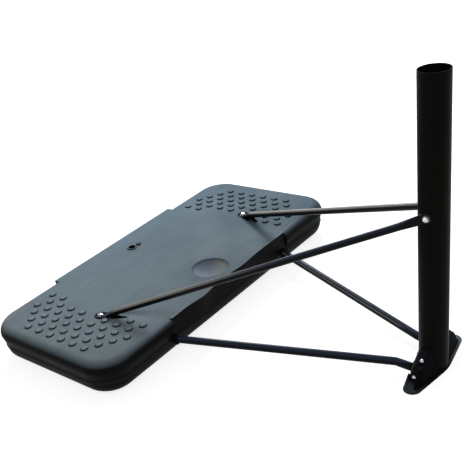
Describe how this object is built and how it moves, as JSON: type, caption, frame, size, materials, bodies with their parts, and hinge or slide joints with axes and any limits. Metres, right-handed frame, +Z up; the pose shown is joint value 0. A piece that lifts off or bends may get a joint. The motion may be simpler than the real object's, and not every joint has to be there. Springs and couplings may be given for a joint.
{
  "type": "portable basketball hoop base",
  "caption": "Ballast tank, bracing struts, moulded foot and lower pole section of a portable basketball hoop.",
  "frame": {"origin": "on the floor, on the pole's axis, at the underside of the foot", "axes": "+Z up along the pole, +X from the ballast tank towards the court, +Y along the tank's length away from the camera"},
  "size_m": [1.4635, 1.4, 0.94],
  "materials": {
    "tank_plastic": "satin, lightly grained blow-moulded polyethylene",
    "soft_plastic": "matt",
    "foot_plastic": "satin",
    "pole_paint": "satin powder coat",
    "strut_paint": "semi-gloss powder coat",
    "zinc": "bright zinc plate"
  },
  "bodies": {
    "base": {"tank": "tank_plastic", "pole_lower": "pole_paint", "foot": "foot_plastic", "near_upper_strut": "strut_paint", "near_lower_strut": "strut_paint", "near_socket_collar": "soft_plastic", "near_anchor_bolt": "zinc", "near_anchor_washer": "zinc", "near_anchor_nut": "zinc", "upper_near_washer": "zinc", "lower_near_washer": "zinc", "far_upper_strut": "strut_paint", "far_lower_strut": "strut_paint", "far_socket_collar": "soft_plastic", "far_anchor_bolt": "zinc", "far_anchor_washer": "zinc", "far_anchor_nut": "zinc", "upper_far_washer": "zinc", "lower_far_washer": "zinc", "upper_bolt": "zinc", "upper_nut": "zinc", "foot_bolt": "zinc", "foot_nut": "zinc", "lower_bolt": "zinc", "lower_nut": "zinc"},
    "plug": {"fill_plug": "soft_plastic"}
  },
  "joints": [
    {"name": "plug_pull", "type": "slide", "parent": "base", "child": "plug", "axis": [0, 0, 1], "range_m": [0, 0.03]}
  ]
}
